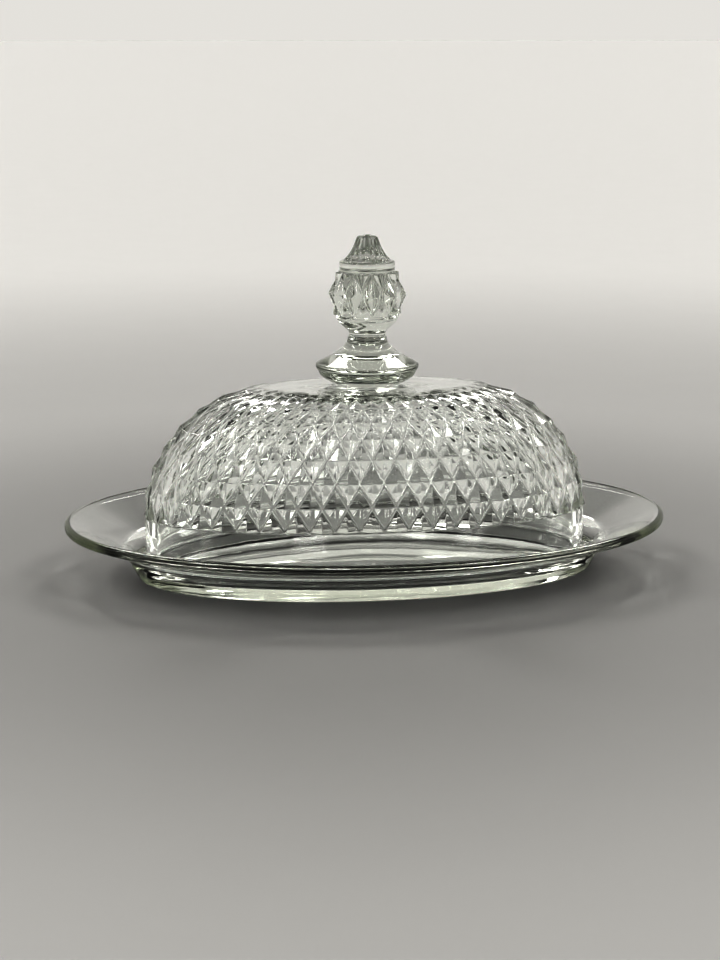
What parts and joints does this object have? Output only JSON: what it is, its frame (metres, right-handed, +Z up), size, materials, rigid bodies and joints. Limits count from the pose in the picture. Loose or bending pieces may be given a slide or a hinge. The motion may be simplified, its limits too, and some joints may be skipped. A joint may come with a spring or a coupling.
{
  "type": "butter dish",
  "caption": "Oval pressed-glass butter dish: broad flared tray and a lift-off domed cover with diamond relief and a finial knob.",
  "frame": {"origin": "centre of the tray's foot, on the surface that the dish stands on", "axes": "+X along the dish's length, +Y across it, +Z up through the knob"},
  "size_m": [0.21, 0.152, 0.1178],
  "materials": {
    "tray_glass": "clear pressed glass, faint green-yellow tint where thick, fire polished",
    "cover_glass": "clear pressed glass with diamond relief outside, smooth inside, fire polished",
    "knob_glass": "clear solid pressed glass, cut-style facets, fire polished"
  },
  "bodies": {
    "tray": {"tray": "tray_glass"},
    "cover": {"cover_dome": "cover_glass", "cover_knob": "knob_glass"}
  },
  "joints": [
    {"name": "cover_lift", "type": "slide", "parent": "tray", "child": "cover", "axis": [0, 0, 1], "range_m": [0, 0.1]}
  ]
}
